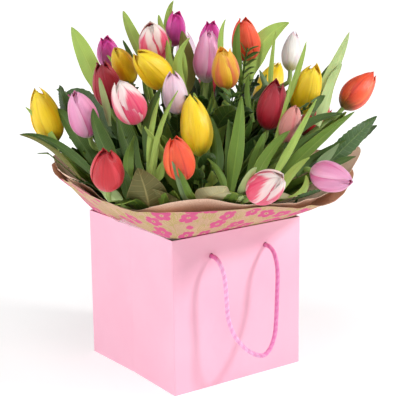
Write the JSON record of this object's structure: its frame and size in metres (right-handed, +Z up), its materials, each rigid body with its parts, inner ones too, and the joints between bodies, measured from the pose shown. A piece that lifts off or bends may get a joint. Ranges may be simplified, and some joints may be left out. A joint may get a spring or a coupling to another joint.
{
  "type": "flower box",
  "caption": "Square pink card carrier box with two rope handles, holding a tied bouquet of tulips in two kraft papers and a water bag, which lifts out.",
  "frame": {"origin": "centre of the carton's underside, on the surface it stands on", "axes": "+Z up; -Y out of the front panel, which carries a rope handle as the back panel does; the creased gussets are at -X and +X"},
  "size_m": [0.3791, 0.4156, 0.4302],
  "materials": {
    "carton_pink": "satin",
    "inner_card": "matte",
    "rope_pink": "satin",
    "twine": "matte",
    "kraft_plain": "matte",
    "kraft_printed": "matte",
    "clear_film": "gloss",
    "leaf_green": "satin",
    "petals_yellow": "satin",
    "petals_slim_yellow": "satin",
    "petals_gold": "satin",
    "petals_orange": "satin",
    "petals_scarlet": "satin",
    "petals_crimson": "satin",
    "petals_pink": "satin",
    "petals_blush": "satin",
    "petals_magenta": "satin",
    "petals_pink_and_white": "satin",
    "petals_ivory": "satin",
    "petals_salmon": "satin"
  },
  "bodies": {
    "box": {"front_panel": "carton_pink", "front_rim_stiffener": "inner_card", "front_knot_left": "rope_pink", "front_knot_right": "rope_pink", "back_panel": "carton_pink", "back_rim_stiffener": "inner_card", "back_knot_left": "rope_pink", "back_knot_right": "rope_pink", "left_gusset": "carton_pink", "right_gusset": "carton_pink", "base_panel": "carton_pink", "base_card": "inner_card"},
    "bouquet": {"stem_twine": "twine", "wrap_twine": "twine", "plain_kraft_wrap": "kraft_plain", "printed_kraft_wrap": "kraft_printed", "water_bag": "clear_film", "tulip_yellow_1": "petals_yellow", "tulip_pink_1": "petals_pink", "tulip_crimson_1": "petals_crimson", "tulip_pink_and_white_1": "petals_pink_and_white", "tulip_scarlet_1": "petals_scarlet", "tulip_magenta_1": "petals_magenta", "tulip_slim_yellow_1": "petals_slim_yellow", "tulip_yellow_2": "petals_yellow", "tulip_pink_and_white_2": "petals_pink_and_white", "tulip_magenta_2": "petals_magenta", "tulip_blush_1": "petals_blush", "tulip_magenta_3": "petals_magenta", "tulip_pink_2": "petals_pink", "tulip_gold_1": "petals_gold", "tulip_orange_1": "petals_orange", "tulip_ivory_1": "petals_ivory", "tulip_crimson_2": "petals_crimson", "tulip_yellow_3": "petals_yellow", "tulip_orange_2": "petals_orange", "tulip_salmon_1": "petals_salmon", "tulip_pink_3": "petals_pink", "tulip_pink_and_white_3": "petals_pink_and_white", "tulip_yellow_4": "petals_yellow", "tulip_orange_3": "petals_orange", "tulip_yellow_5": "petals_yellow", "tulip_crimson_3": "petals_crimson", "tulip_pink_4": "petals_pink", "tulip_orange_4": "petals_orange", "tulip_magenta_4": "petals_magenta", "tulip_scarlet_2": "petals_scarlet", "tulip_blush_2": "petals_blush", "tulip_leaf_1": "leaf_green", "tulip_leaf_2": "leaf_green", "tulip_leaf_3": "leaf_green", "tulip_leaf_4": "leaf_green", "tulip_leaf_5": "leaf_green", "sprig_1": "leaf_green", "sprig_2": "leaf_green", "sprig_3": "leaf_green", "sprig_4": "leaf_green"},
    "front_handle": {"front_handle_cord": "rope_pink"},
    "back_handle": {"back_handle_cord": "rope_pink"}
  },
  "joints": [
    {"name": "bouquet_lift", "type": "slide", "parent": "box", "child": "bouquet", "axis": [0, 0, 1], "range_m": [0, 0.2]},
    {"name": "front_handle_swing", "type": "hinge", "parent": "box", "child": "front_handle", "pos_m": [0, -0.0928, 0.1545], "axis": [-1, 0, 0], "range_deg": [0, 100]},
    {"name": "back_handle_swing", "type": "hinge", "parent": "box", "child": "back_handle", "pos_m": [0, 0.0928, 0.1545], "axis": [1, 0, 0], "range_deg": [0, 100]}
  ]
}
